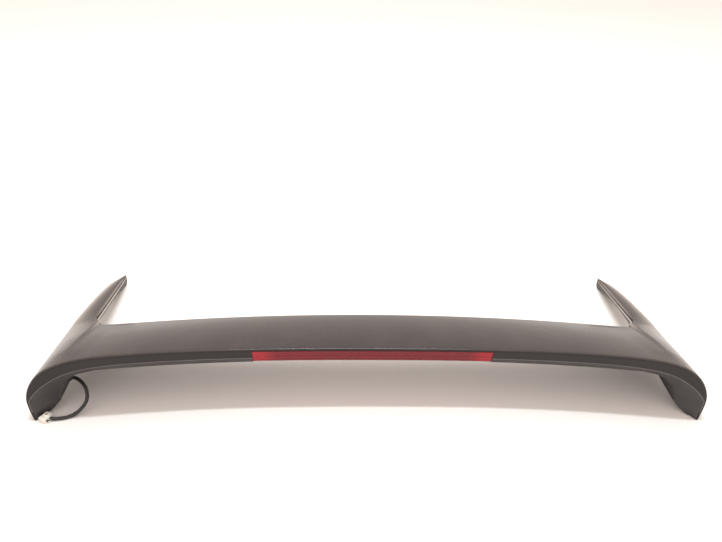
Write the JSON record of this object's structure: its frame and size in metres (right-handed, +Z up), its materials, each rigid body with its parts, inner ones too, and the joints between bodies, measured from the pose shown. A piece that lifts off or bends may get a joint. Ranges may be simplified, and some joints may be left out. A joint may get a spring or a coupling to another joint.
{
  "type": "rear deck spoiler with brake lamp",
  "caption": "Wide hollow rear spoiler with rolled-down end fins, long pointed arms, a red brake lamp in its trailing edge and a lead that comes out of one fin.",
  "frame": {"origin": "centre of the bounding box at the plane that the two rear corners and the two arm tips rest on, measured without the lead and its connector", "axes": "+X across the spoiler to its right side seen from behind, +Y forward from the brake lamp to the arm tips, +Z up"},
  "size_m": [1.2, 0.4485, 0.1217],
  "materials": {
    "outer_skin": "satin two-stage paint over a moulded ABS skin",
    "lower_shell": "fine-grained dark plastic",
    "arm_base_left": "fine-grained dark plastic",
    "arm_base_right": "fine-grained dark plastic",
    "arm_tape": "closed-cell foam tape",
    "glass_seal": "extruded soft rubber",
    "lamp_housing": "moulded black plastic",
    "lamp_lens": "tinted clear acrylic with moulded optics",
    "lamp_reflector": "vapour-coated plastic",
    "led_board": "lacquered circuit board",
    "leds": "moulded clear resin",
    "lamp_gasket": "soft foam rubber",
    "lamp_screws": "black zinc plate",
    "lamp_plug": "natural nylon",
    "inner_harness": "woven sleeve over two wires",
    "harness_clips": "black nylon",
    "harness_grommet": "moulded rubber",
    "lead": "ribbed black sleeve",
    "connector_housing": "natural nylon",
    "connector_terminals": "tinned brass",
    "connector_lock": "dyed nylon",
    "mounting_studs": "zinc plate",
    "stud_seals": "closed-cell foam rubber",
    "arm_clips": "natural nylon",
    "clip_seals": "closed-cell foam rubber",
    "shell_screws": "black zinc plate"
  },
  "bodies": {
    "root": {"outer_skin": "outer_skin", "lower_shell": "lower_shell", "arm_base_left": "arm_base_left", "arm_base_right": "arm_base_right", "arm_tape": "arm_tape", "glass_seal": "glass_seal", "lamp_housing": "lamp_housing", "lamp_lens": "lamp_lens", "lamp_reflector": "lamp_reflector", "led_board": "led_board", "leds": "leds", "lamp_gasket": "lamp_gasket", "lamp_screws": "lamp_screws", "lamp_plug": "lamp_plug", "inner_harness": "inner_harness", "harness_clips": "harness_clips", "harness_grommet": "harness_grommet", "lead": "lead", "connector_housing": "connector_housing", "connector_terminals": "connector_terminals", "connector_lock": "connector_lock", "mounting_studs": "mounting_studs", "stud_seals": "stud_seals", "arm_clips": "arm_clips", "clip_seals": "clip_seals", "shell_screws": "shell_screws"}
  },
  "joints": []
}
